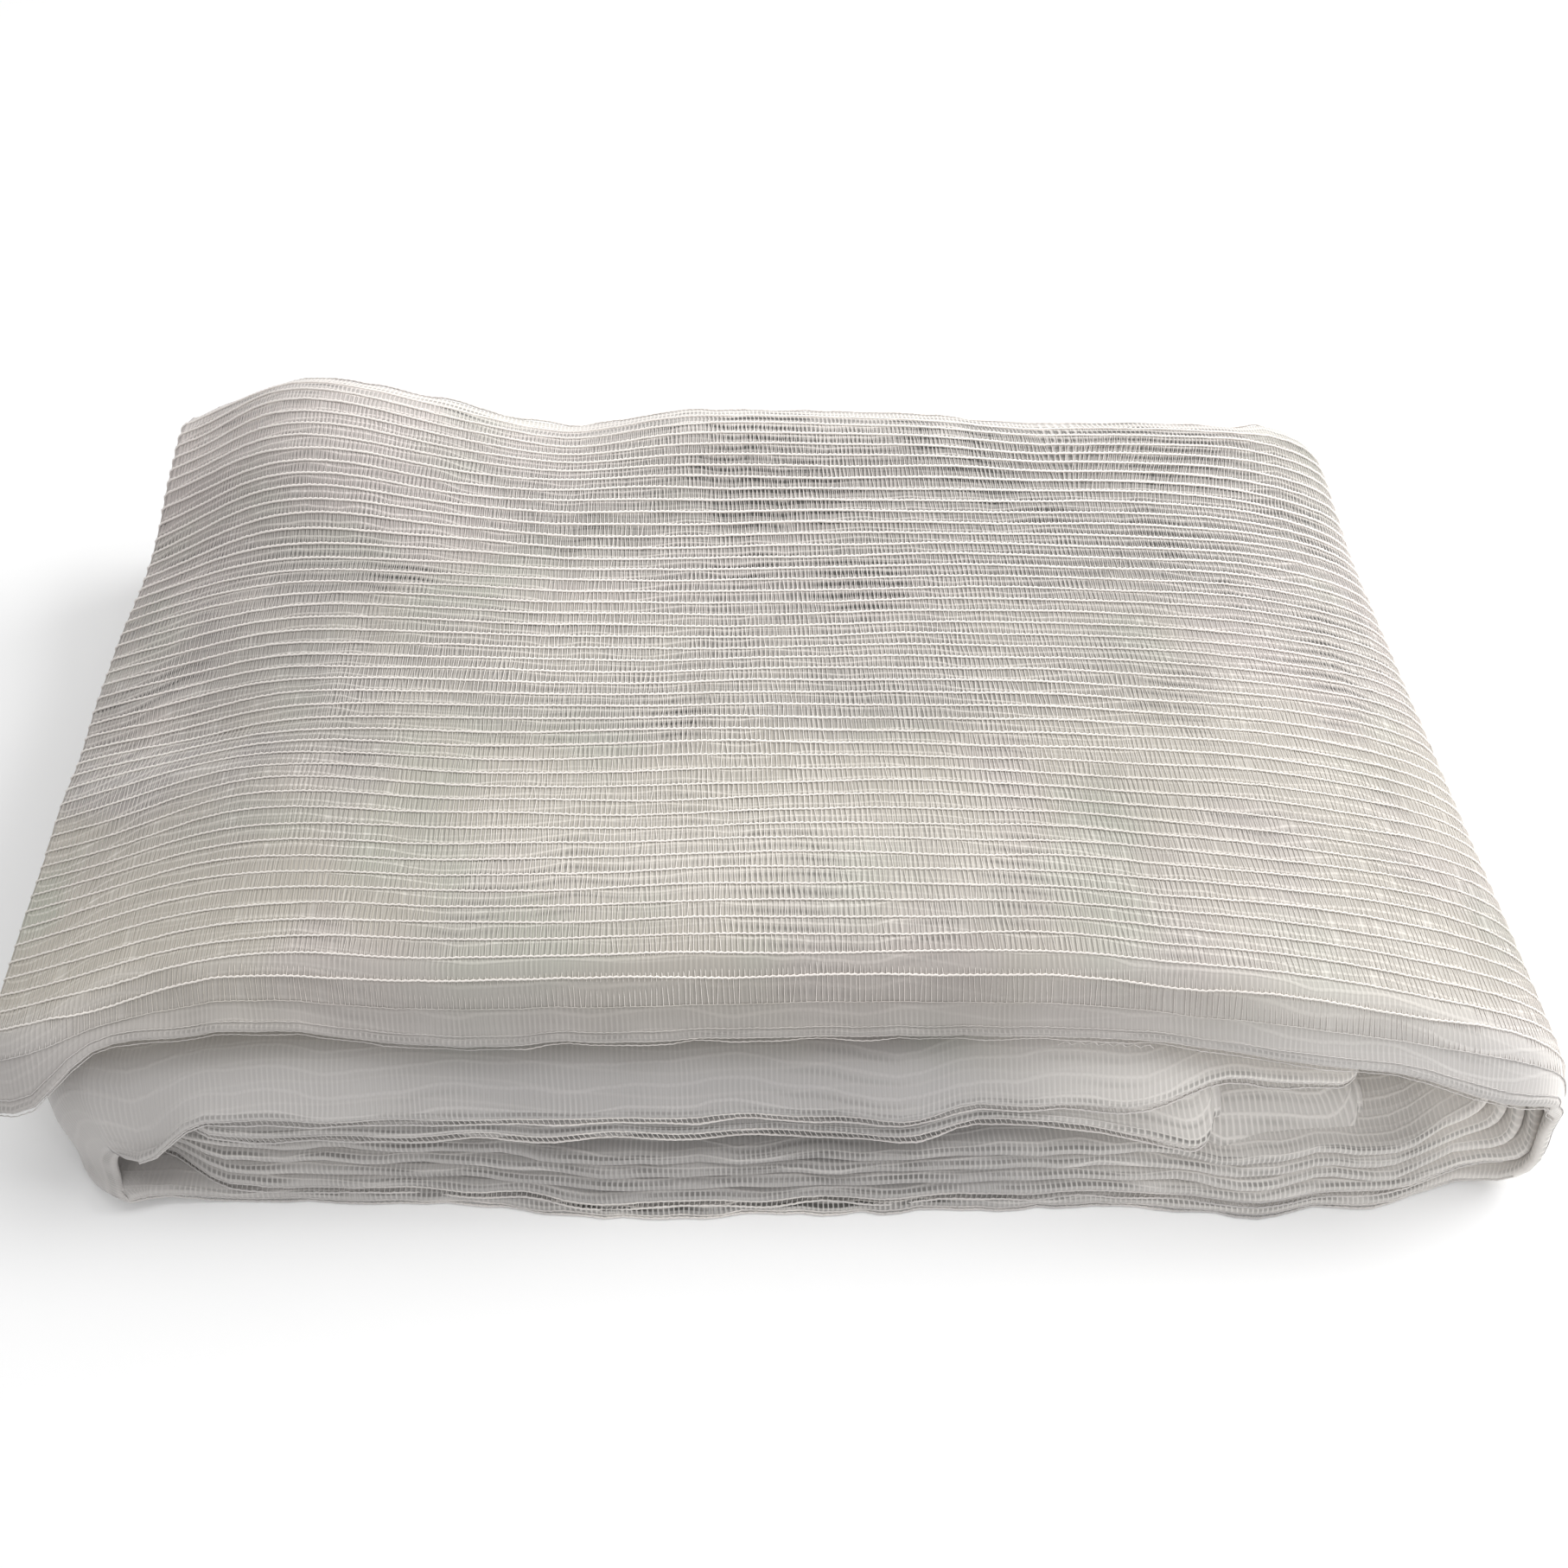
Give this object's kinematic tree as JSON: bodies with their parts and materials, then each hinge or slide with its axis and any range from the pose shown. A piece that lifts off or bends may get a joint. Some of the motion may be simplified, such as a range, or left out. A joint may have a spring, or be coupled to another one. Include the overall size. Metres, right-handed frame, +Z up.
{
  "type": "folded debris netting",
  "caption": "Fine white ribbed debris netting, folded back and forth and then in three to a flat, uneven pack that lies on a surface.",
  "frame": {"origin": "middle of the pack's footprint, on the surface that it lies on", "axes": "+X along the ribs and the longest side, towards the end where the top third goes round to the bottom third; +Y towards the back edges; +Z up"},
  "size_m": [0.6416, 0.4009, 0.1121],
  "materials": {
    "net": "white knitted net of fine yarn with close raised ribs, matt with a faint sheen"
  },
  "bodies": {
    "root": {"folded_net": "net"}
  },
  "joints": []
}
